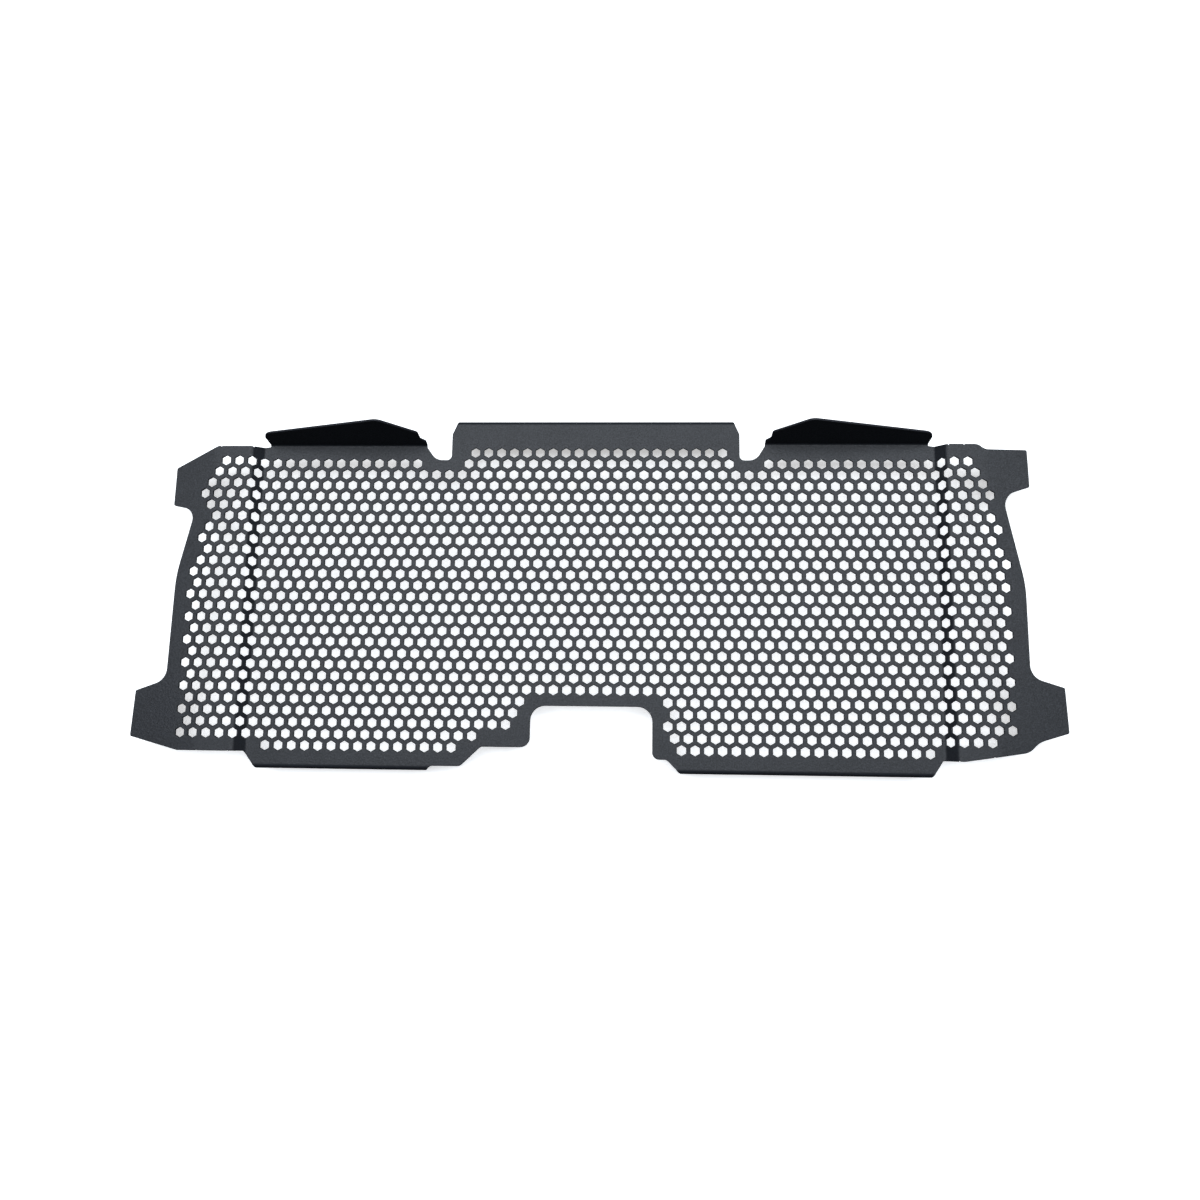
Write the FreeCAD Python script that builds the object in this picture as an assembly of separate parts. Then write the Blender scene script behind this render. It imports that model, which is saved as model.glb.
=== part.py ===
import FreeCAD, Part
import math
import os
from FreeCAD import Vector

# Motorcycle radiator guard: one aluminium sheet, laser cut, folded and powder coated.
# It lies on the edges of its folded lips. X runs along its length, Y to its top edge, Z to the viewer.
# The origin is under the middle of the sheet. Lengths are in mm and angles in degrees.

# Sheet and folds
sheet_t = 1.0
bend_r = 1.0                # inside radius of the sharp folds
lip_depth = 12.0            # from the panel's front face to the lips' edges
lip_corner_r = 2.0

# Raised wings: a joggle lifts them in front of the panel, and their tabs lean back
joggle_x = 154.2            # fold line next to the panel, from the middle
joggle_run = 4.5
joggle_rise = 5.0
tab_bend_x = 21.3           # out from the joggle's fold line
tab_bend_angle = 5.0
tab_bend_r = 30.0

# Overall outline
wing_w = 52.4               # from the joggle's fold line to the end of the lower tabs
half_h = 80.25
waist_x = 36.6              # side of the wings between their tabs, out from the joggle's fold line

# Top edge of the panel
top_notch_mouth = 78.0
top_notch_w = 11.6          # from the notch's mouth to the band that carries the top lip
band_taper = 1.9            # how far the band's sides lean in on the way to the lip
band_shoulder = 4.4         # height of that slope
band_shoulder_r = 1.0
top_notch_floor = 61.5
top_notch_slant = 0.61      # widening of the notch for each mm upwards
top_notch_outer_r = 5.8
top_notch_inner_r = 2.25
panel_top = 68.0            # between the deflector flanges and the joggles

# Deflector flanges on the top edge. Heights are from the right flange's fold line, along its face.
# The left flange is cut to the same outline but folded a little lower.
flange_line_y = 69.25
left_flange_drop = 0.8
flange_angle = 80.0
flange_gap = 2.1            # from the notch's mouth to the flange's side
flange_end_gap = 2.4        # from the flange's outer end to the joggle
flange_foot_h = 2.6         # foot next to the notch
flange_ankle_h = 5.2        # where the foot's slope meets the flange's side
flange_inner_h = 11.0
flange_peak_out = 15.8      # from the flange's side to its peak
flange_peak_h = 22.8
flange_outer_h = 10.2
flange_foot_r = 1.0
flange_inner_r = 1.7
flange_peak_r = 5.0
flange_outer_r = 3.0

# Bottom edge of the panel
lip_slant = 0.64            # how far a bottom lip narrows for each mm towards its free edge
left_lip_gap = 2.85         # from the left lip's outer end to the joggle
left_lip_end = 71.6
right_lip_start = 37.4
right_lip_gap = 4.3
left_ledge_y = 69.6
left_ledge_end = 49.6
left_ramp = 8.9             # run of the ramp from the ledge down to the lip's line
right_ledge_y = 74.5
right_ledge_end = 33.6
notch_half = 27.1
notch_top = 51.25
notch_corner_r = 6.6
notch_mouth_r = 4.3

# Left wing, from its top edge down to its bottom edge. Each x is out from the joggle's fold line.
left_top_y = 66.7
left_cut_x = 20.2           # where the tab's cut-off corner starts
left_tab_x = 39.8
left_tab_top = 56.4
left_tab_bottom = 38.5
left_neck_x = 29.35
left_neck_y = 36.4
left_waist_y = 5.8
left_foot_y = 41.55
left_foot_top = 46.6
left_foot_bottom = 66.8
left_heel_x = 29.6
left_bottom_y = 72.8

# Right wing, in the same way
right_top_y = 67.85
right_step_x = 18.2         # where the top edge steps down to the tab
right_step_run = 2.8
right_tab_x = 40.4
right_tab_top = 65.4
right_tab_bottom = 48.3
right_neck_x = 28.05
right_neck_y = 44.1
right_waist_y = 4.1
right_foot_y = 36.45
right_foot_top = 41.0
right_foot_bottom = 60.5
right_instep_x = 38.95
right_instep_y = 64.5
right_heel_x = 34.75
right_heel_y = 68.95
right_sole_x = 6.8
right_bottom_y = 73.1

# Small nicks in the wings' edges that mark the folds, out from the joggle's fold line
mark_w = 0.8
mark_depth = 0.6
left_top_marks = (3.8, 18.9)
left_bottom_marks = (6.5, 20.6)
right_top_marks = (5.1, 12.0)
right_bottom_marks = (4.3, 19.3)

# Radii of the wings' corners
tip_r = 2.0
neck_r = 6.8
waist_r = 60.0
step_r = 4.6
instep_r = 11.8
heel_r = 8.0

# Hexagonal holes, points up. The real sheet has a hole every hole_pitch.
# Here one larger hole stands for field_step x field_step of them, with the same share of open area.
hole_pitch = 6.0
hole_flats = 4.05
field_step = 2.5
field_x = 0.0               # one hole's centre, from the middle
field_y = 1.3
edge_margin = 3.6           # metal between a hole and the sheet's edge
field_top = 67.5
field_side = 31.0           # no hole crosses this line on to a tab, out from the joggle's fold line
tab_field_side = 24.2       # the same line beside the upper tabs
tab_field_y = 46.0

# Places that follow from the sizes above
half_w = joggle_x + wing_w
band_half = top_notch_mouth - top_notch_w
top_lip_half = band_half - band_taper
flange_inner_x = top_notch_mouth + flange_gap
flange_peak_x = flange_inner_x + flange_peak_out
flange_outer_x = joggle_x - flange_end_gap
left_lip_start = joggle_x - left_lip_gap
right_lip_end = joggle_x - right_lip_gap
lip_line = half_h - bend_r - sheet_t        # where the panel ends and a lip's bend starts
panel_z = lip_depth
wing_z = panel_z + joggle_rise
over = 5.0                  # how far a cutting shape runs past what it cuts


# Unit vector from point a to point b, both (u, v)
def unit(a, b):
    length = math.hypot(b[0] - a[0], b[1] - a[1])
    return (b[0] - a[0]) / length, (b[1] - a[1]) / length


# Straight edges through the corners (u, v, radius), with an arc at each corner that has a radius.
# place turns (u, v) into a point in space.
def rounded_edges(corners, place, closed):
    count = len(corners)
    stops = []
    for i, (u, v, radius) in enumerate(corners):
        ends = not closed and i in (0, count - 1)
        if radius <= 0 or ends:
            stops.append([(u, v)])
            continue
        before = corners[i - 1]
        after = corners[(i + 1) % count]
        back = unit((u, v), before)
        ahead = unit((u, v), after)
        cosine = max(-1.0, min(1.0, back[0] * ahead[0] + back[1] * ahead[1]))
        half = math.acos(cosine) / 2
        room = min(math.dist((u, v), before[:2]), math.dist((u, v), after[:2]))
        reach = min(radius / math.tan(half), 0.49 * room)
        true_radius = reach * math.tan(half)
        middle = true_radius / math.sin(half) - true_radius
        towards = unit((0, 0), (back[0] + ahead[0], back[1] + ahead[1]))
        stops.append([
            (u + back[0] * reach, v + back[1] * reach),
            (u + towards[0] * middle, v + towards[1] * middle),
            (u + ahead[0] * reach, v + ahead[1] * reach),
        ])
    edges = []
    for i, stop in enumerate(stops):
        if len(stop) == 3:
            edges.append(Part.Arc(*[place(*p) for p in stop]).toShape())
        if closed or i < count - 1:
            following = stops[(i + 1) % count]
            edges.append(Part.makeLine(place(*stop[-1]), place(*following[0])))
    return edges


# Section of the folded sheet. Each corner is (u, z, inside radius) on the sheet's front face,
# and the back face lies one thickness below it.
def sheet_section(corners, place):
    front = []
    back = []
    for i, (u, z, inside_r) in enumerate(corners):
        before = unit(corners[i - 1], (u, z)) if i else None
        after = unit((u, z), corners[i + 1]) if i < len(corners) - 1 else None
        before = before or after
        after = after or before
        turn = before[0] * after[1] - before[1] * after[0]
        share = sheet_t / (1 + before[0] * after[0] + before[1] * after[1])
        back_u = u + (before[1] + after[1]) * share
        back_z = z - (before[0] + after[0]) * share
        front_r = inside_r if turn > 0 else inside_r + sheet_t
        back_r = inside_r + sheet_t if turn > 0 else inside_r
        front.append((u, z, front_r))
        back.append((back_u, back_z, back_r))
    edges = rounded_edges(front, place, False)
    edges += rounded_edges(back, place, False)
    for one, other in ((front[0], back[0]), (front[-1], back[-1])):
        edges.append(Part.makeLine(place(*one[:2]), place(*other[:2])))
    return Part.Face(Part.Wire(Part.__sortEdges__(edges)))


# The panel, its two joggles and the wings, as one long strip that is wider than the outline.
def strip():
    end_x = half_w + over
    bend_x = joggle_x + tab_bend_x
    drop = (end_x - bend_x) * math.tan(math.radians(tab_bend_angle))
    right = [
        (joggle_x, panel_z, bend_r),
        (joggle_x + joggle_run, wing_z, bend_r),
        (bend_x, wing_z, tab_bend_r),
        (end_x, wing_z - drop, 0),
    ]
    left = [(-x, z, r) for x, z, r in reversed(right)]
    low = -half_h - over
    section = sheet_section(left + right, lambda u, z: Vector(u, low, z))
    return section.extrude(Vector(0, 2 * (half_h + over), 0))


# Where the panel ends at a deflector flange's bend, before its sharp corner line
def flange_edge(line_y):
    return line_y - bend_r * math.tan(math.radians(flange_angle) / 2)


# Half of the top edge seen from the front, from the lip out to the flange
def top_corners(line_y):
    notch_foot = top_notch_mouth - top_notch_slant * (flange_edge(flange_line_y) - top_notch_floor)
    return [
        (top_lip_half, lip_line, 0),
        (band_half, lip_line - band_shoulder, band_shoulder_r),
        (band_half, top_notch_floor, top_notch_inner_r),
        (notch_foot, top_notch_floor, top_notch_outer_r),
        (top_notch_mouth, flange_edge(line_y), 0),
        (flange_outer_x, flange_edge(line_y), 0),
    ]


# Corners of the left wing, anticlockwise, with x out from the joggle's fold line
def left_wing_corners():
    return [
        (0, panel_top - left_flange_drop, 0),
        (joggle_run, left_top_y, 0),
        (left_cut_x, left_top_y, tip_r),
        (left_tab_x, left_tab_top, tip_r),
        (left_tab_x, left_tab_bottom, tip_r),
        (left_neck_x, left_neck_y, neck_r),
        (waist_x, left_waist_y, waist_r),
        (waist_x, -left_foot_y, neck_r),
        (wing_w, -left_foot_top, tip_r),
        (wing_w, -left_foot_bottom, tip_r),
        (left_heel_x, -left_bottom_y, tip_r),
    ]


# Corners of the right wing, anticlockwise, with x out from the joggle's fold line
def right_wing_corners():
    return [
        (right_sole_x, -right_bottom_y, tip_r),
        (right_heel_x, -right_heel_y, heel_r),
        (right_instep_x, -right_instep_y, instep_r),
        (wing_w, -right_foot_bottom, tip_r),
        (wing_w, -right_foot_top, tip_r),
        (waist_x, -right_foot_y, neck_r),
        (waist_x, right_waist_y, waist_r),
        (right_neck_x, right_neck_y, neck_r),
        (right_tab_x, right_tab_bottom, tip_r),
        (right_tab_x, right_tab_top, tip_r),
        (right_step_x + right_step_run, right_tab_top, step_r),
        (right_step_x, right_top_y, step_r),
        (joggle_run, right_top_y, 0),
        (0, panel_top, 0),
    ]


# Corners of the bottom edge from left to right. The lips' slanted ends go on up to the wings.
def bottom_corners():
    left_end = left_lip_start + lip_slant * (lip_line - left_bottom_y)
    right_end = right_lip_end + lip_slant * (lip_line - right_bottom_y)
    return [
        (-left_end, -left_bottom_y, 0),
        (-left_lip_start, -lip_line, 0),
        (-left_ledge_end - left_ramp, -lip_line, tip_r),
        (-left_ledge_end, -left_ledge_y, tip_r),
        (-notch_half, -left_ledge_y, notch_mouth_r),
        (-notch_half, -notch_top, notch_corner_r),
        (notch_half, -notch_top, notch_corner_r),
        (notch_half, -right_ledge_y, notch_mouth_r),
        (right_ledge_end, -right_ledge_y, tip_r),
        (right_lip_start, -lip_line, 0),
        (right_lip_end, -lip_line, 0),
        (right_end, -right_bottom_y, 0),
    ]


# The corners with a nick cut at x into the top edge (side 1) or the bottom edge (side -1)
def with_mark(corners, x, side):
    for i, (start_x, start_y, radius) in enumerate(corners[:-1]):
        end_x, end_y = corners[i + 1][:2]
        if start_y * side > 0 and min(start_x, end_x) < x < max(start_x, end_x):
            break
    slope = (end_y - start_y) / (end_x - start_x)
    y = start_y + (x - start_x) * slope
    half = math.copysign(mark_w / 2, end_x - start_x)
    nick = [(x - half, y - half * slope, 0), (x, y - side * mark_depth, 0), (x + half, y + half * slope, 0)]
    return corners[:i + 1] + nick + corners[i + 1:]


# Corners of the whole sheet seen from the front, anticlockwise from the left end of the top lip
def plan_corners():
    left = [(-x, y, r) for x, y, r in top_corners(flange_line_y - left_flange_drop)]
    left += [(-joggle_x - x, y, r) for x, y, r in left_wing_corners()]
    right = [(joggle_x + x, y, r) for x, y, r in right_wing_corners()]
    corners = left + bottom_corners() + right + list(reversed(top_corners(flange_line_y)))
    for out in left_top_marks:
        corners = with_mark(corners, -joggle_x - out, 1)
    for out in left_bottom_marks:
        corners = with_mark(corners, -joggle_x - out, -1)
    for out in right_top_marks:
        corners = with_mark(corners, joggle_x + out, 1)
    for out in right_bottom_marks:
        corners = with_mark(corners, joggle_x + out, -1)
    return corners


# Outline of the sheet seen from the front, as a closed wire below everything
def plan_wire():
    edges = rounded_edges(plan_corners(), lambda u, v: Vector(u, v, -over), True)
    return Part.Wire(edges)


# Place of a point of the flat blank once it is folded: the joggles pull the wings inwards
def folded_x(x):
    slope = math.atan2(joggle_rise, joggle_run)
    near = joggle_x - bend_r * math.tan(slope / 2)
    far = joggle_x + joggle_run + (bend_r + sheet_t) * math.tan(slope / 2)
    straight = math.hypot(joggle_run, joggle_rise) - (2 * bend_r + sheet_t) * math.tan(slope / 2)
    flat = straight + 2 * slope * (bend_r + sheet_t / 2)
    past = abs(x) - near
    if past <= 0:
        return x
    if past >= flat:
        return math.copysign(abs(x) - flat + far - near, x)
    return math.copysign(near + past * (far - near) / flat, x)


# One hexagonal hole with its points up, on the blank and then folded
def hole_wire(x, y, flats):
    radius = flats / math.sqrt(3)
    points = []
    for k in range(6):
        angle = math.radians(60 * k + 30)
        points.append(Vector(folded_x(x + radius * math.cos(angle)), y + radius * math.sin(angle), -over))
    return Part.makePolygon(points + points[:1])


# The field of holes: every lattice point that leaves enough metal to the edge and stays off the tabs
def hole_field(outline):
    pitch = hole_pitch * field_step
    flats = hole_flats * field_step
    row_step = pitch * math.sqrt(3) / 2
    rows = math.ceil(half_h / row_step) + 1
    columns = math.ceil(half_w / pitch) + 1
    sheet = Part.Face(outline)
    holes = []
    for row in range(-rows, rows + 1):
        y = field_y + row * row_step
        for column in range(-columns, columns + 1):
            x = field_x + (column + row % 2 / 2) * pitch
            centre = Vector(folded_x(x), y, -over)
            side = tab_field_side if y > tab_field_y else field_side
            if abs(centre.x) + flats / 2 > joggle_x + side or y + flats / math.sqrt(3) > field_top:
                continue
            if not sheet.isInside(centre, 0.001, True):
                continue
            if outline.distToShape(Part.Vertex(centre))[0] >= flats / 2 + edge_margin:
                holes.append(hole_wire(x, y, flats))
    return holes


# A fold along X with the plate behind it: its section in Y and Z, cut to an outline.
# The outline is given in the plate's own plane, as (x, length from the fold's corner line, radius).
def folded_plate(section, outline, angle, corner_y):
    low_x = min(x for x, length, radius in outline) - over
    high_x = max(x for x, length, radius in outline) + over
    face = sheet_section(section, lambda u, z: Vector(low_x, u, z))
    blank = face.extrude(Vector(high_x - low_x, 0, 0))
    reach = max(length for x, length, radius in outline)
    edges = rounded_edges(outline, lambda u, v: Vector(u, v, -reach), True)
    cutter = Part.Face(Part.Wire(edges)).extrude(Vector(0, 0, 2 * reach))
    cutter.rotate(Vector(0, 0, 0), Vector(1, 0, 0), angle)
    cutter.translate(Vector(0, corner_y, panel_z))
    return blank.common(cutter)


# Deflector flange on the right half of the top edge, standing up towards the viewer. Folded lower by
# drop, it is taller by as much.
def deflector_flange(drop):
    lean = math.radians(flange_angle)
    line_y = flange_line_y - drop
    length = flange_peak_h + over
    section = [
        (flange_edge(line_y) - over, panel_z, 0),
        (line_y, panel_z, bend_r),
        (line_y + length * math.cos(lean), panel_z + length * math.sin(lean), 0),
    ]
    outline = [
        (top_notch_mouth, -over, 0),
        (flange_outer_x, -over, 0),
        (flange_outer_x, flange_outer_h + drop, flange_outer_r),
        (flange_peak_x, flange_peak_h + drop, flange_peak_r),
        (flange_inner_x, flange_inner_h + drop, flange_inner_r),
        (flange_inner_x, flange_ankle_h + drop, flange_foot_r),
        (top_notch_mouth, flange_foot_h + drop, flange_foot_r),
    ]
    return folded_plate(section, outline, flange_angle, line_y)


# Lip folded straight back between two places along X. side is 1 on the top edge and -1 on the bottom.
# Its ends slant inwards, each by its own slope.
def lip(start_x, end_x, start_slope, end_slope, side):
    section = [
        (lip_line - over, panel_z, 0),
        (half_h, panel_z, bend_r),
        (half_h, 0, 0),
    ]
    flat_depth = lip_depth - bend_r - sheet_t + math.pi / 2 * (bend_r + sheet_t / 2)
    outline = [
        (start_x, -over, 0),
        (end_x, -over, 0),
        (end_x, 0, 0),
        (end_x - end_slope * flat_depth, lip_depth, lip_corner_r),
        (start_x + start_slope * flat_depth, lip_depth, lip_corner_r),
        (start_x, 0, 0),
    ]
    plate = folded_plate(section, outline, -90, half_h)
    return plate if side > 0 else plate.mirror(Vector(0, 0, 0), Vector(0, 1, 0))


def radiator_guard():
    outline = plan_wire()
    through = Vector(0, 0, wing_z + 2 * over)
    sheet = strip().common(Part.Face(outline).extrude(through))
    band_slope = band_taper / band_shoulder
    ramp_slope = (right_lip_start - right_ledge_end) / (lip_line - right_ledge_y)
    folds = [
        deflector_flange(0),
        deflector_flange(left_flange_drop).mirror(Vector(0, 0, 0), Vector(1, 0, 0)),
        lip(-top_lip_half, top_lip_half, band_slope, band_slope, 1),
        lip(-left_lip_start, -left_lip_end, lip_slant, lip_slant, -1),
        lip(right_lip_start, right_lip_end, ramp_slope, lip_slant, -1),
    ]
    holes = [Part.Face(hole).extrude(through) for hole in hole_field(outline)]
    return sheet.fuse(folds).removeSplitter().cut(Part.makeCompound(holes))


os.makedirs("parts", exist_ok=True)
guard = radiator_guard()
guard.exportStep("parts/radiator_guard.step")
print("solids", len(guard.Solids), "box", guard.BoundBox, "volume", round(guard.Volume))
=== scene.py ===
import math
import bmesh
import bpy
import numpy as np
from mathutils.geometry import delaunay_2d_cdt
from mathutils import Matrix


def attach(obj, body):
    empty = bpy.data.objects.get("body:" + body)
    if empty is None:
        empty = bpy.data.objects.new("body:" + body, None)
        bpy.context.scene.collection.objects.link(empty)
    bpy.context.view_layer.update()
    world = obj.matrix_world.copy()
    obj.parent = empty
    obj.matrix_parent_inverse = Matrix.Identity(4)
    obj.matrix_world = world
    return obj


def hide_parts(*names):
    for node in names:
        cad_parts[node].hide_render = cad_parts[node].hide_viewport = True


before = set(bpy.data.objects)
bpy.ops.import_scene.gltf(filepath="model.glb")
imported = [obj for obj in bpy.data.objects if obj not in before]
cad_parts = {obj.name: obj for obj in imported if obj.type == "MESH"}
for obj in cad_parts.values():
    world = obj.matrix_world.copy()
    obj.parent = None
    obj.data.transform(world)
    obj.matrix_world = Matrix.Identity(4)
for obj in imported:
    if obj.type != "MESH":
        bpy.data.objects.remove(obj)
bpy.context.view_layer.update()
print("frame loaded")

mm = 0.001

# One blank of aluminium sheet, in millimetres. Its front face looks up, and the lips' edges are on the floor.
sheet = {
    "thickness": 1.0,
    "insideRadius": 1.0,     # of the flanges' and the lips' folds
    "coatRadius": 0.12,      # the powder coat rounds each cut edge
    "lipDepth": 12.0,        # panel's front face above the lips' edges
    "arcPoints": 9,          # along each rounded corner of the outline
    "sharpAngle": 25.0,      # edges that turn by more degrees are shaded sharp
}

# Folds: sharp corner lines on the front face, and the turn in degrees towards (+) or away from (-) the front.
# Cuts are the lines that divide a bend.
joggle = {"x": 154.2, "run": 4.5, "rise": 5.0, "insideRadius": 1.7, "cuts": 7}
tabBend = {"x": 175.5, "angle": -5.0, "insideRadius": 30.0, "cuts": 4}
flangeBend = {"y": 69.25, "leftDrop": 0.8, "angle": 80.0, "cuts": 9}     # the left one is folded lower down
lipBend = {"y": 80.25, "angle": -90.0, "cuts": 9}


# Sizes of a fold: the middle of the sheet keeps its length round the bend, which is the turn times the
# middle's radius. The straight sheet ends before the sharp corner line, by the front's radius times
# the tangent of half the turn.
def foldSizes(angle, insideRadius):
    turn = math.radians(angle)
    middleRadius = insideRadius + sheet["thickness"] / 2
    frontRadius = insideRadius if angle > 0 else insideRadius + sheet["thickness"]
    return {
        "flat": abs(turn) * middleRadius,
        "curve": math.copysign(1 / middleRadius, angle),
        "setback": frontRadius * math.tan(abs(turn) / 2),
    }


# A folded path across the sheet: runs of (flat length, curve). Each run starts where the last one ends,
# and its heading and curve say how a point a given flat length along it moves out and up.
def foldPath(runs):
    starts, headings, curves, outs, ups = [], [], [], [], []
    start = heading = out = up = 0.0
    for length, curve in runs:
        starts.append(start)
        headings.append(heading)
        curves.append(curve)
        outs.append(out)
        ups.append(up)
        after = heading + curve * length
        if curve:
            out += (math.sin(after) - math.sin(heading)) / curve
            up -= (math.cos(after) - math.cos(heading)) / curve
        else:
            out += length * math.cos(heading)
            up += length * math.sin(heading)
        start += length
        heading = after
    return [np.array(values) for values in (starts, headings, curves, outs, ups)]


# Points on a folded path: flat lengths along and heights above the middle of the sheet, to (out, up)
def alongPath(path, lengths, heights):
    starts, headings, curves, outs, ups = path
    k = np.clip(np.searchsorted(starts, lengths, side="right") - 1, 0, len(starts) - 1)
    past = lengths - starts[k]
    heading = headings[k] + curves[k] * past
    bent = curves[k] != 0
    curve = np.where(bent, curves[k], 1.0)
    arcOut = (np.sin(heading) - np.sin(headings[k])) / curve
    arcUp = -(np.cos(heading) - np.cos(headings[k])) / curve
    out = outs[k] + np.where(bent, arcOut, past * np.cos(headings[k]))
    up = ups[k] + np.where(bent, arcUp, past * np.sin(headings[k]))
    return out - heights * np.sin(heading), up + heights * np.cos(heading)


slope = math.degrees(math.atan2(joggle["rise"], joggle["run"]))
joggleIn = foldSizes(slope, joggle["insideRadius"])
joggleOut = foldSizes(-slope, joggle["insideRadius"])
tabFold = foldSizes(tabBend["angle"], tabBend["insideRadius"])
flangeFold = foldSizes(flangeBend["angle"], sheet["insideRadius"])
lipFold = foldSizes(lipBend["angle"], sheet["insideRadius"])
slopeLength = math.hypot(joggle["run"], joggle["rise"])
wingFlat = tabBend["x"] - joggle["x"] - joggle["run"]
farAway = 100.0          # past the end of the sheet

wingRuns = [
    (joggle["x"] - joggleIn["setback"], 0.0),
    (joggleIn["flat"], joggleIn["curve"]),
    (slopeLength - joggleIn["setback"] - joggleOut["setback"], 0.0),
    (joggleOut["flat"], joggleOut["curve"]),
    (wingFlat - joggleOut["setback"] - tabFold["setback"], 0.0),
    (tabFold["flat"], tabFold["curve"]),
    (farAway, 0.0),
]
flangeLine = flangeBend["y"] - flangeFold["setback"]
lipLine = lipBend["y"] - lipFold["setback"]
flangeRuns = [(flangeLine, 0.0), (flangeFold["flat"], flangeFold["curve"]), (farAway, 0.0)]
lipRuns = [(lipLine, 0.0), (lipFold["flat"], lipFold["curve"]), (farAway, 0.0)]
wingPath, flangePath, lipPath = foldPath(wingRuns), foldPath(flangeRuns), foldPath(lipRuns)


# Flat place of a point that is given by its place in front view, x from the middle
def flatX(x):
    longest, perMillimetre = 230, 20
    lengths = np.linspace(0, longest, longest * perMillimetre + 1)
    out = alongPath(wingPath, lengths, np.full_like(lengths, sheet["thickness"] / 2))[0]
    return np.sign(x) * np.interp(np.abs(x), out, lengths)


# Flat place of a point on a flange or a lip, from its length beyond the sharp corner line
def flatFlange(height):
    return flangeLine + flangeFold["flat"] + height - flangeFold["setback"]


def flatLip(depth):
    return lipLine + lipFold["flat"] + depth - lipFold["setback"]


# Corners of the blank as (x, y, radius): x is seen from the front, y is flat
outline = {
    "topLip": {"half": 64.5, "endHalf": 59.16, "cornerRadius": 2.0, "rootRadius": 0.8},
    "band": {"half": 66.4, "shoulderY": 73.85, "shoulderRadius": 1.0},
    "topNotch": {
        "floorY": 61.5, "footX": 73.78, "mouthX": 78.0,
        "innerRadius": 2.25, "outerRadius": 5.8, "mouthRadius": 0.5,
    },
    "flange": {
        "footHeight": 2.6, "ankleHeight": 5.2, "footRadius": 1.0,
        "innerX": 80.1, "innerHeight": 11.0, "innerRadius": 1.7,
        "peakX": 95.9, "peakHeight": 22.8, "peakRadius": 5.0,
        "outerX": 151.8, "outerHeight": 10.2, "outerRadius": 5.5, "outerFootRadius": 0.4,
    },
    "leftWing": [
        (-154.2, 67.2, 0.6), (-158.7, 66.7, 0), (-174.4, 66.7, 2.0), (-194.0, 56.3, 1.0), (-194.2, 38.6, 0.9),
        (-183.55, 36.4, 6.6), (-190.55, 5.8, 60.0), (-191.5, -41.55, 7.1), (-205.6, -46.5, 0.9),
        (-206.6, -66.85, 0.9), (-183.8, -72.8, 2.0), (-154.84, -72.8, 0.6),
    ],
    "rightWing": [
        (153.2, -73.1, 0.6), (161.0, -73.1, 2.0), (188.95, -68.95, 8.0), (193.15, -64.5, 11.8),
        (206.6, -60.55, 0.9), (205.75, -40.95, 0.9), (190.85, -36.45, 7.0), (190.75, 4.1, 60.0),
        (182.25, 44.1, 6.8), (194.75, 48.3, 0.9), (194.4, 65.45, 0.9), (175.2, 65.4, 4.6),
        (172.4, 67.85, 4.6), (158.7, 67.87, 0), (154.2, 68.0, 0.6),
    ],
    "leftLip": {"start": -151.35, "startSlope": 0.64, "end": -71.6, "endSlope": 0.64, "cornerRadius": 2.0},
    "rampRadius": 3.0,       # beside the left lip's inner end
    "rightLip": {"start": 37.4, "startSlope": 1.013, "end": 149.9, "endSlope": 0.64, "cornerRadius": 2.0},
    "bottomEdge": {
        "leftRampX": -57.9, "leftLedgeX": -48.9, "leftLedgeY": -69.6,
        "rightLedgeX": 33.4, "rightLedgeY": -74.2, "cornerRadius": 2.5,
    },
    "bottomNotch": {"half": 27.1, "topY": -51.25, "cornerRadius": 6.6, "mouthRadius": 4.3},
    "markWidth": 0.8,
    "markDepth": 0.6,
    "topMarks": (-158.0, -173.1, 159.3, 166.2),        # nicks in the edge that mark where to fold
    "bottomMarks": (-160.7, -174.8, 158.5, 173.5),
}

# The holes: hexagons with their points up on a triangular lattice. The lower rows were cut a little
# further left than the upper ones.
holes = {
    "pitch": 6.0,
    "flats": 4.05,
    "rowZeroY": 7.85,
    "upperX": 1.7,
    "lowerX": 0.95,
    "lastUpperRow": 0,
    "rows": (-11, 15),
    "columns": (-34, 34),
    "edgeRoom": 5.62,        # least distance from a hole's centre to the edge of the sheet
    "sideX": 185.3,          # flat, no centre beyond this line, so the tabs stay whole
    "tabSideX": 179.9,       # the same beside the upper tabs, where the line leans inwards
    "tabLean": 0.4,
    "tabFromY": 46.0,
}


# Half of the top edge, from the lip's middle outwards on the right side. Its flange bends at flangeLine
# less a drop.
def topCorners(drop):
    lip, band, notch, flange = (outline[name] for name in ("topLip", "band", "topNotch", "flange"))
    return [
        (lip["endHalf"], flatLip(sheet["lipDepth"]), lip["cornerRadius"]),
        (lip["half"], lipLine, lip["rootRadius"]),
        (band["half"], band["shoulderY"], band["shoulderRadius"]),
        (band["half"], notch["floorY"], notch["innerRadius"]),
        (notch["footX"], notch["floorY"], notch["outerRadius"]),
        (notch["mouthX"], flangeLine - drop, notch["mouthRadius"]),
        (notch["mouthX"], flatFlange(flange["footHeight"]), flange["footRadius"]),
        (flange["innerX"], flatFlange(flange["ankleHeight"]), flange["footRadius"]),
        (flange["innerX"], flatFlange(flange["innerHeight"]), flange["innerRadius"]),
        (flange["peakX"], flatFlange(flange["peakHeight"]), flange["peakRadius"]),
        (flange["outerX"], flatFlange(flange["outerHeight"]), flange["outerRadius"]),
        (flange["outerX"], flangeLine - drop, flange["outerFootRadius"]),
    ]


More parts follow.
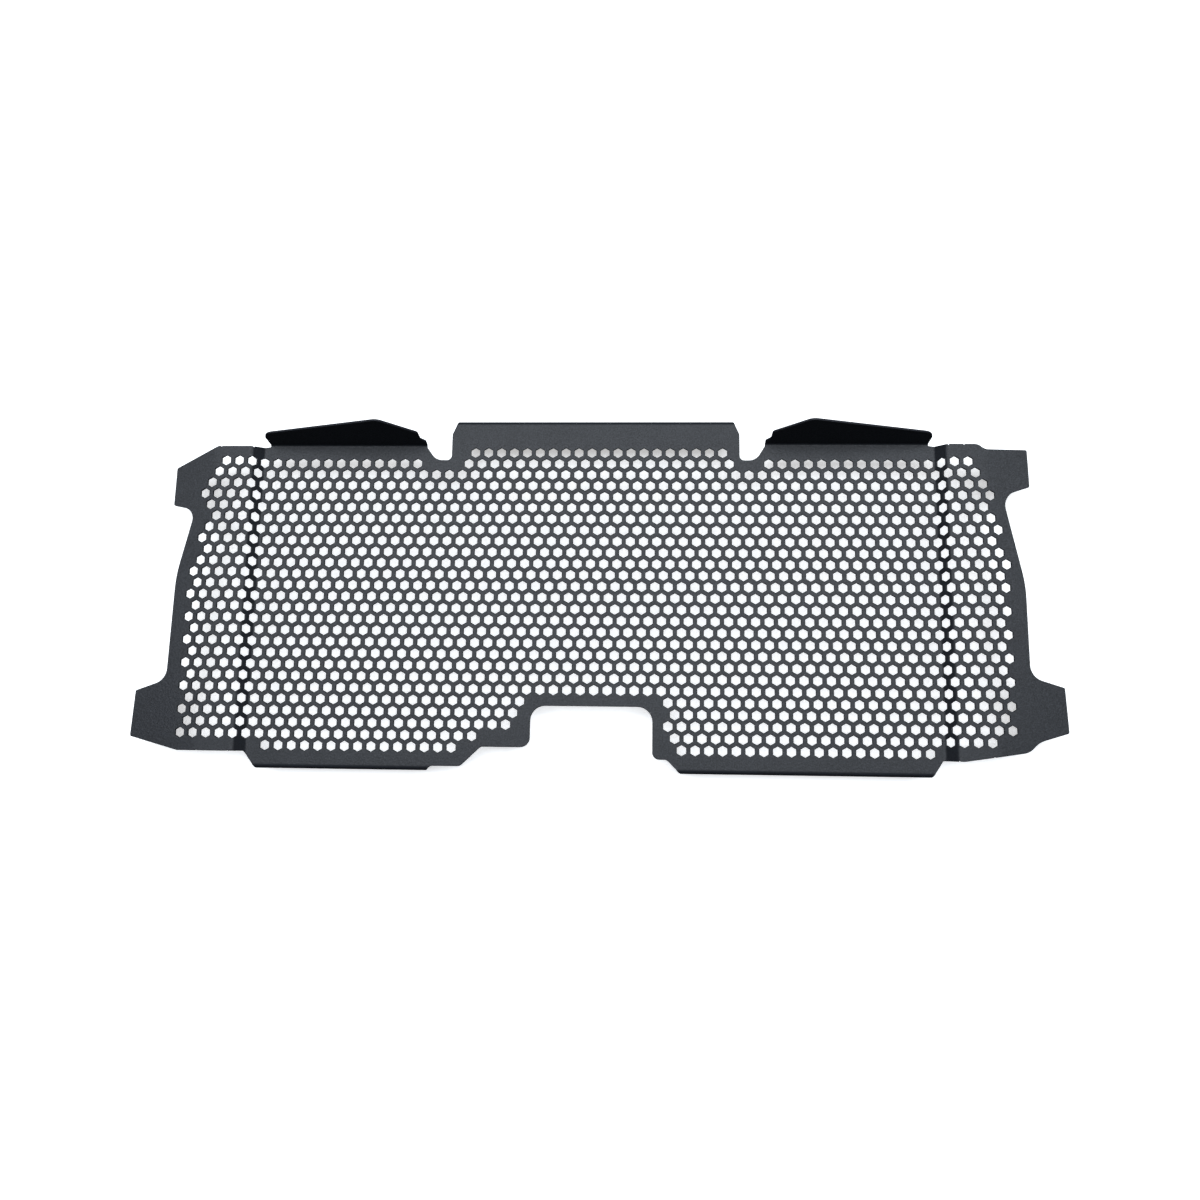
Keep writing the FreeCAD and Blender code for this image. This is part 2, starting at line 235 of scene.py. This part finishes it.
def bottomCorners():
    edge, notch = outline["bottomEdge"], outline["bottomNotch"]
    left, right = outline["leftLip"], outline["rightLip"]
    lipEnd = flatLip(sheet["lipDepth"])
    flatDepth = lipEnd - lipLine
    return [
        (left["start"], -lipLine, 0),
        (left["start"] + left["startSlope"] * flatDepth, -lipEnd, left["cornerRadius"]),
        (left["end"] - left["endSlope"] * flatDepth, -lipEnd, left["cornerRadius"]),
        (left["end"], -lipLine, outline["rampRadius"]),
        (edge["leftRampX"], -lipLine, edge["cornerRadius"]),
        (edge["leftLedgeX"], edge["leftLedgeY"], edge["cornerRadius"]),
        (-notch["half"], edge["leftLedgeY"], notch["mouthRadius"]),
        (-notch["half"], notch["topY"], notch["cornerRadius"]),
        (notch["half"], notch["topY"], notch["cornerRadius"]),
        (notch["half"], edge["rightLedgeY"], notch["mouthRadius"]),
        (edge["rightLedgeX"], edge["rightLedgeY"], edge["cornerRadius"]),
        (right["start"], -lipLine, 0),
        (right["start"] + right["startSlope"] * flatDepth, -lipEnd, right["cornerRadius"]),
        (right["end"] - right["endSlope"] * flatDepth, -lipEnd, right["cornerRadius"]),
        (right["end"], -lipLine, 0),
    ]


# Closed outline through the corners. Each corner's arc touches both of its straight edges:
# it starts radius / tan(half the corner's angle) back from the corner, and takes less than half of an edge.
def roundedOutline(corners, arcPoints):
    mostOfEdge, tooClose = 0.49, 1e-4
    corners = np.array(corners, float)
    points = corners[:, :2]
    back = np.roll(points, 1, axis=0) - points
    ahead = np.roll(points, -1, axis=0) - points
    backLength = np.linalg.norm(back, axis=1)
    aheadLength = np.linalg.norm(ahead, axis=1)
    back = back / backLength[:, None]
    ahead = ahead / aheadLength[:, None]
    half = np.arccos(np.clip((back * ahead).sum(1), -1, 1)) / 2
    reach = np.minimum(corners[:, 2] / np.tan(half), mostOfEdge * np.minimum(backLength, aheadLength))
    radius = reach * np.tan(half)
    middle = back + ahead
    middle = middle / np.linalg.norm(middle, axis=1)[:, None]
    centre = points + middle * (radius / np.sin(half))[:, None]
    first = points + back * reach[:, None] - centre
    turn = np.sign(back[:, 1] * ahead[:, 0] - back[:, 0] * ahead[:, 1]) * (math.pi - 2 * half)
    angles = turn[:, None] * np.linspace(0, 1, arcPoints)[None, :]
    x = centre[:, 0, None] + first[:, 0, None] * np.cos(angles) - first[:, 1, None] * np.sin(angles)
    y = centre[:, 1, None] + first[:, 0, None] * np.sin(angles) + first[:, 1, None] * np.cos(angles)
    loop = np.stack([x.ravel(), y.ravel()], axis=1)
    apart = np.linalg.norm(loop - np.roll(loop, 1, axis=0), axis=1)
    return loop[apart > tooClose]


# The same outline moved into the metal by an amount: each point goes along the mitre of its two edges
def movedIn(loop, amount):
    before = loop - np.roll(loop, 1, axis=0)
    after = np.roll(loop, -1, axis=0) - loop
    before = before / np.linalg.norm(before, axis=1)[:, None]
    after = after / np.linalg.norm(after, axis=1)[:, None]
    share = amount / (1 + (before * after).sum(1))
    side = before + after
    return loop + np.stack([-side[:, 1], side[:, 0]], axis=1) * share[:, None]


# The corners with a nick cut at x into the top edge (side 1) or the bottom edge (side -1)
def withMark(corners, x, side):
    for i in range(len(corners) - 1):
        (startX, startY), (endX, endY) = corners[i][:2], corners[i + 1][:2]
        if startY * side > 0 and min(startX, endX) < x < max(startX, endX):
            break
    slope = (endY - startY) / (endX - startX)
    y = startY + (x - startX) * slope
    half = math.copysign(outline["markWidth"] / 2, endX - startX)
    nickStart, nickEnd = (x - half, y - half * slope, 0), (x + half, y + half * slope, 0)
    return corners[:i + 1] + [nickStart, (x, y - side * outline["markDepth"], 0), nickEnd] + corners[i + 1:]


def blankOutline():
    left = [(-x, y, r) for x, y, r in topCorners(flangeBend["leftDrop"])]
    corners = left + outline["leftWing"] + bottomCorners() + outline["rightWing"] + topCorners(0)[::-1]
    for x in outline["topMarks"]:
        corners = withMark(corners, x, 1)
    for x in outline["bottomMarks"]:
        corners = withMark(corners, x, -1)
    corners = np.array(corners, float)
    corners[:, 0] = flatX(corners[:, 0])
    return roundedOutline(corners, sheet["arcPoints"])


# Least distance of each point to a closed loop, and whether it lies inside: a line from there to the right
# crosses the loop an odd number of times.
def distanceAndInside(points, loop):
    almostFlat = 1e-12
    a, b = loop, np.roll(loop, -1, axis=0)
    edge = b - a
    away = points[:, None, :] - a[None, :, :]
    share = np.clip((away * edge).sum(2) / (edge * edge).sum(1), 0, 1)
    distance = np.linalg.norm(away - edge[None, :, :] * share[:, :, None], axis=2).min(1)
    above = (a[None, :, 1] > points[:, None, 1]) != (b[None, :, 1] > points[:, None, 1])
    rise = np.where(edge[:, 1] == 0, almostFlat, edge[:, 1])
    crossing = a[None, :, 0] + (points[:, None, 1] - a[None, :, 1]) * (edge[:, 0] / rise)[None, :]
    return distance, (above & (points[:, None, 0] < crossing)).sum(1) % 2 == 1


# Centres of the holes on the flat blank: the lattice, less what would come too near an edge or on a tab
def holeCentres(loop):
    firstRow, lastRow = holes["rows"]
    firstColumn, lastColumn = holes["columns"]
    rows, columns = np.meshgrid(np.arange(firstRow, lastRow + 1), np.arange(firstColumn, lastColumn + 1))
    rows, columns = rows.ravel(), columns.ravel()
    firstX = np.where(rows > holes["lastUpperRow"], holes["lowerX"], holes["upperX"])
    x = (columns + (rows % 2) / 2) * holes["pitch"] + firstX
    y = holes["rowZeroY"] - rows * holes["pitch"] * math.sqrt(3) / 2
    centres = np.stack([x, y], axis=1)
    distance, inside = distanceAndInside(centres, loop)
    besideTab = holes["tabSideX"] - holes["tabLean"] * (y - holes["tabFromY"])
    limit = np.where(y > holes["tabFromY"], besideTab, holes["sideX"])
    underFlange = (np.abs(x) > outline["topNotch"]["footX"]) & (y + holes["edgeRoom"] > flangeBend["y"])
    return centres[inside & (distance >= holes["edgeRoom"]) & (np.abs(x) <= limit) & ~underFlange]


hexagonCorners = 6


# Hexagons round the centres, clockwise, so that the metal is always on the left of the way round
def hexagons(centres, flats):
    angles = math.radians(30) - math.radians(60) * np.arange(hexagonCorners)
    corners = np.stack([np.cos(angles), np.sin(angles)], axis=1) * flats / math.sqrt(3)
    return centres[:, None, :] + corners[None, :, :]


# The blank as a closed mesh: every cut edge is four rings, two of them set in by the coat's radius,
# joined by quads, and the rings set in bound the triangles of the front and the back. Triangles whose
# corners are all on one ring may lie in a hole or in a notch, and those are left out.
def blankMesh():
    loop = blankOutline()
    centres = holeCentres(loop)
    print("holes", len(centres))
    coat, half = sheet["coatRadius"], sheet["thickness"] / 2
    cut = hexagons(centres, holes["flats"])
    cutIn = hexagons(centres, holes["flats"] + 2 * coat)
    edge = np.concatenate([loop, cut.reshape(-1, 2)])
    setIn = np.concatenate([movedIn(loop, coat), cutIn.reshape(-1, 2)])
    count, outer = len(edge), len(loop)
    following = np.arange(count) + 1
    following[outer - 1] = 0
    firstOfHole = outer + hexagonCorners * np.arange(len(centres))
    following[firstOfHole + hexagonCorners - 1] = firstOfHole
    sides = np.stack([np.arange(count), following], axis=1)
    insideOnly, sameSpot = 1, 1e-7
    found = delaunay_2d_cdt([tuple(p) for p in setIn], sides.tolist(), [], insideOnly, sameSpot, True)
    original = np.array([ids[0] for ids in found[3]])
    triangles = original[np.array(found[2])]
    ring = np.concatenate([np.full(outer, -1), np.repeat(np.arange(len(centres)), hexagonCorners)])
    rings = ring[triangles]
    oneLoop = (rings[:, 0] == rings[:, 1]) & (rings[:, 1] == rings[:, 2])
    inHole = oneLoop & (rings[:, 0] >= 0)
    middles = setIn[triangles].mean(1)
    beyond = oneLoop & ~distanceAndInside(middles, setIn[:outer])[1]
    triangles = triangles[~inHole & ~beyond]
    levels = ((setIn, half), (edge, half - coat), (edge, coat - half), (setIn, -half))
    points = np.concatenate([np.column_stack([flat, np.full(count, height)]) for flat, height in levels])
    a, b = sides[:, 0], sides[:, 1]
    quads = [np.stack([a + (k + 1) * count, b + (k + 1) * count, b + k * count, a + k * count], axis=1)
             for k in range(3)]
    faces = triangles.tolist() + (triangles[:, ::-1] + 3 * count).tolist() + np.concatenate(quads).tolist()
    mesh = bpy.data.meshes.new("radiatorGuardSheet")
    mesh.from_pydata(points.tolist(), [], faces)
    return mesh


# Cuts across one side of the blank where it will bend, so that each bend has its own narrow faces
def cutAcross(mesh, axis, side, places):
    onPlane = 1e-5           # a vertex this near a cut counts as on it
    bm = bmesh.new()
    bm.from_mesh(mesh)
    first = min(places)
    zone = [f for f in bm.faces if max(side * v.co[axis] for v in f.verts) > first]
    shape = zone + list({e for f in zone for e in f.edges}) + list({v for f in zone for v in f.verts})
    normal = [0.0, 0.0, 0.0]
    normal[axis] = float(side)
    for place in places:
        point = [place * n for n in normal]
        shape = bmesh.ops.bisect_plane(bm, geom=shape, dist=onPlane, plane_co=point, plane_no=normal)["geom"]
    bm.to_mesh(mesh)
    bm.free()


# Places of the cuts of one bend, with one more just outside each end to keep the flat faces flat
def bendPlaces(start, flat, cuts):
    guard = 0.25
    return [start - guard, *np.linspace(start, start + flat, cuts), start + flat + guard]


# The blank cut and folded: from the joggles outwards a point follows the wing's path sideways, and elsewhere
# its path runs from the middle to the top or bottom edge, up a flange or down a lip.
def foldedSheet():
    mesh = blankMesh()
    starts = wingPath[0]
    wingCuts = bendPlaces(starts[1], joggleIn["flat"], joggle["cuts"])
    wingCuts += bendPlaces(starts[3], joggleOut["flat"], joggle["cuts"])
    wingCuts += bendPlaces(starts[5], tabFold["flat"], tabBend["cuts"])
    cutAcross(mesh, 0, 1, wingCuts)
    cutAcross(mesh, 0, -1, wingCuts)
    for drop in (0, flangeBend["leftDrop"]):
        cutAcross(mesh, 1, 1, bendPlaces(flangeLine - drop, flangeFold["flat"], flangeBend["cuts"]))
    cutAcross(mesh, 1, 1, bendPlaces(lipLine, lipFold["flat"], lipBend["cuts"]))
    cutAcross(mesh, 1, -1, bendPlaces(lipLine, lipFold["flat"], lipBend["cuts"]))
    flat = np.empty(len(mesh.vertices) * 3)
    mesh.vertices.foreach_get("co", flat)
    u, v, height = flat.reshape(-1, 3).T
    sideways, wingUp = alongPath(wingPath, np.abs(u), height)
    drop = np.where(u < 0, flangeBend["leftDrop"], 0)
    besideBand = np.abs(u) > outline["band"]["half"] + sheet["thickness"]
    onFlange = (v > flangeLine - drop) & besideBand
    flangeOut, flangeUp = alongPath(flangePath, np.abs(v) + drop, height)
    flangeOut -= drop
    lipOut, lipUp = alongPath(lipPath, np.abs(v), height)
    wing = np.abs(u) > starts[1]
    endways = np.where(wing, v, np.sign(v) * np.where(onFlange, flangeOut, lipOut))
    up = np.where(wing, wingUp, np.where(onFlange, flangeUp, lipUp))
    middle = sheet["lipDepth"] - sheet["thickness"] / 2
    folded = np.stack([np.where(wing, np.sign(u) * sideways, u), endways, up + middle], axis=1) * mm
    mesh.vertices.foreach_set("co", folded.ravel())
    mesh.update()
    mesh.shade_smooth()
    mesh.set_sharp_from_angle(angle=math.radians(sheet["sharpAngle"]))
    guard = bpy.data.objects.new("radiatorGuardSheet", mesh)
    bpy.context.scene.collection.objects.link(guard)
    return guard


# sRGB hex to linear
def hexColour(value):
    parts = [int(value[i:i + 2], 16) / 255 for i in (1, 3, 5)]
    return [p / 12.92 if p <= 0.04045 else ((p + 0.055) / 1.055) ** 2.4 for p in parts] + [1.0]


# A node with its settings, and links from other nodes' sockets into its inputs
def addNode(tree, kind, settings=None, inputs=None):
    node = tree.nodes.new(kind)
    for name, value in (settings or {}).items():
        setattr(node, name, value)
    for name, value in (inputs or {}).items():
        if isinstance(value, bpy.types.NodeSocket):
            tree.links.new(value, node.inputs[name])
        else:
            node.inputs[name].default_value = value
    return node


def newMaterial(name):
    material = bpy.data.materials.new(name)
    material.use_nodes = True
    material.node_tree.nodes.clear()
    return material, material.node_tree


# Polyester powder coat on aluminium, sprayed and baked: satin charcoal. Its grains give the flat faces
# a fine sparkle, its orange peel softens their reflections, and slow mottling keeps them from looking even.
powderCoat = {
    "darkGrain": "#131518",
    "lightGrain": "#202329",
    "specular": 0.298,
    "dullGrain": 0.56,           # roughness of the dullest and the brightest grains
    "brightGrain": 0.36,
    "grainSize": 0.55,           # millimetres, drawn coarser than the real 0.1 so that it shows
    "grainDetail": 2.0,          # octaves of its noise
    "grainContrast": (0.3, 0.7),
    "peelSize": 1.1,
    "peelDetail": 2.0,
    "peelHeight": 0.08,
    "mottleSize": 16,
    "mottleDetail": 3.0,
    "mottleShare": 0.15,
}


def powderCoatMaterial():
    material, tree = newMaterial("satinPowderCoat")
    place = addNode(tree, "ShaderNodeTexCoord").outputs["Object"]

    def noise(size, detail):
        settings = {"Vector": place, "Scale": 1 / (size * mm), "Detail": detail}
        return addNode(tree, "ShaderNodeTexNoise", {}, settings).outputs["Fac"]

    low, high = powderCoat["grainContrast"]
    grain = addNode(tree, "ShaderNodeMapRange", {}, {
        "Value": noise(powderCoat["grainSize"], powderCoat["grainDetail"]),
        "From Min": low, "From Max": high})
    share = powderCoat["mottleShare"]
    mottle = addNode(tree, "ShaderNodeMapRange", {}, {
        "Value": noise(powderCoat["mottleSize"], powderCoat["mottleDetail"]),
        "To Min": -share, "To Max": share})
    both = addNode(tree, "ShaderNodeMath", {"operation": "ADD", "use_clamp": True}, {
        0: grain.outputs["Result"], 1: mottle.outputs["Result"]})
    shade = addNode(tree, "ShaderNodeMix", {"data_type": "RGBA"}, {
        "Factor": both.outputs["Value"],
        "A": hexColour(powderCoat["darkGrain"]),
        "B": hexColour(powderCoat["lightGrain"])})
    roughness = addNode(tree, "ShaderNodeMapRange", {}, {
        "Value": both.outputs["Value"],
        "To Min": powderCoat["dullGrain"],
        "To Max": powderCoat["brightGrain"]})
    peel = addNode(tree, "ShaderNodeBump", {}, {
        "Height": noise(powderCoat["peelSize"], powderCoat["peelDetail"]),
        "Distance": powderCoat["peelHeight"] * mm})
    coat = addNode(tree, "ShaderNodeBsdfPrincipled", {}, {
        "Base Color": shade.outputs["Result"],
        "Roughness": roughness.outputs["Result"],
        "Specular IOR Level": powderCoat["specular"],
        "Normal": peel.outputs["Normal"]})
    addNode(tree, "ShaderNodeOutputMaterial", {}, {"Surface": coat.outputs["BSDF"]})
    return material


# Floor: pale paper that also glows a little to the camera, so that it turns white away from the object
# and keeps the object's shadow. Far out, where the lamp no longer reaches, it glows white by itself.
# To all other light it is a plain grey.
floorLook = {
    "paper": "#fbfbfb",
    "bounce": "#383838",
    "glow": 0.52,
    "whiteGlow": 1.0,
    "glowFrom": 0.5,         # metres from the object's middle
    "glowTo": 1.2,
    "size": 8.0,
}


def floorMaterial():
    material, tree = newMaterial("paleFloor")
    path = addNode(tree, "ShaderNodeLightPath")
    grey = addNode(tree, "ShaderNodeBsdfDiffuse", {}, {"Color": hexColour(floorLook["bounce"])})
    paper = addNode(tree, "ShaderNodeBsdfDiffuse", {}, {"Color": hexColour(floorLook["paper"])})
    place = addNode(tree, "ShaderNodeTexCoord").outputs["Object"]
    far = addNode(tree, "ShaderNodeVectorMath", {"operation": "LENGTH"}, {0: place})
    strength = addNode(tree, "ShaderNodeMapRange", {}, {
        "Value": far.outputs["Value"], "From Min": floorLook["glowFrom"], "From Max": floorLook["glowTo"],
        "To Min": floorLook["glow"], "To Max": floorLook["whiteGlow"]})
    glow = addNode(tree, "ShaderNodeEmission", {}, {"Strength": strength.outputs["Result"]})
    lit = addNode(tree, "ShaderNodeAddShader", {}, {0: glow.outputs["Emission"], 1: paper.outputs["BSDF"]})
    either = addNode(tree, "ShaderNodeMixShader", {}, {
        "Fac": path.outputs["Is Camera Ray"], 1: grey.outputs["BSDF"], 2: lit.outputs["Shader"]})
    addNode(tree, "ShaderNodeOutputMaterial", {}, {"Surface": either.outputs["Shader"]})
    return material


def addFloor():
    half = floorLook["size"] / 2
    mesh = bpy.data.meshes.new("floor")
    corners = [(-half, -half, 0), (half, -half, 0), (half, half, 0), (-half, half, 0)]
    mesh.from_pydata(corners, [], [(0, 1, 2, 3)])
    floor = bpy.data.objects.new("floor", mesh)
    mesh.materials.append(floorMaterial())
    bpy.context.scene.collection.objects.link(floor)


# Soft cool light from a wide ceiling panel, a little to the top edge's side, and a dim room around it
ceiling = {
    "place": (0.0, 0.27, 1.2),
    "turn": (-12.7, 0.0, 0.0),
    "width": 2.3,
    "depth": 0.95,
    "power": 32.3,
    "colour": "#f2f8ff",
}
room = {"colour": "#ffffff", "light": 0.012, "seen": 1.0}     # its light, and how it looks to the camera


def addLights():
    light = bpy.data.lights.new("ceiling", "AREA")
    light.shape = "RECTANGLE"
    light.size = ceiling["width"]
    light.size_y = ceiling["depth"]
    light.energy = ceiling["power"]
    light.color = hexColour(ceiling["colour"])[:3]
    holder = bpy.data.objects.new("ceiling", light)
    holder.location = ceiling["place"]
    holder.rotation_euler = [math.radians(a) for a in ceiling["turn"]]
    bpy.context.scene.collection.objects.link(holder)
    world = bpy.data.worlds.new("surround")
    world.use_nodes = True
    tree = world.node_tree
    tree.nodes.clear()
    path = addNode(tree, "ShaderNodeLightPath")
    colour = hexColour(room["colour"])
    dim = addNode(tree, "ShaderNodeBackground", {}, {"Color": colour, "Strength": room["light"]})
    white = addNode(tree, "ShaderNodeBackground", {}, {"Color": colour, "Strength": room["seen"]})
    either = addNode(tree, "ShaderNodeMixShader", {}, {
        "Fac": path.outputs["Is Camera Ray"], 1: dim.outputs["Background"], 2: white.outputs["Background"]})
    addNode(tree, "ShaderNodeOutputWorld", {}, {"Surface": either.outputs["Shader"]})
    bpy.context.scene.world = world


# Camera of the photograph: over the lower half of the sheet, looking down and a little towards its top edge
camera = {
    "place": (0.02021, -0.06219, 0.42471),
    "turn": (8.11, 2.244, 0.747),
    "sensor": 36.0,
    "focalPixels": 925.8,
    "imagePixels": 1200,
    "nearest": 0.01,
}


def addCamera():
    data = bpy.data.cameras.new("camera")
    data.sensor_width = camera["sensor"]
    data.lens = camera["sensor"] * camera["focalPixels"] / camera["imagePixels"]
    data.clip_start = camera["nearest"]
    holder = bpy.data.objects.new("camera", data)
    holder.location = camera["place"]
    holder.rotation_euler = [math.radians(a) for a in camera["turn"]]
    bpy.context.scene.collection.objects.link(holder)
    bpy.context.scene.camera = holder


guard = foldedSheet()
guard.data.materials.append(powderCoatMaterial())
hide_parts("radiator_guard")
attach(guard, "root")
print("sheet folded and coated")

addFloor()
addLights()
addCamera()
bpy.context.scene.view_settings.view_transform = "Standard"
print("floor, light and camera placed")

bpy.context.view_layer.update()
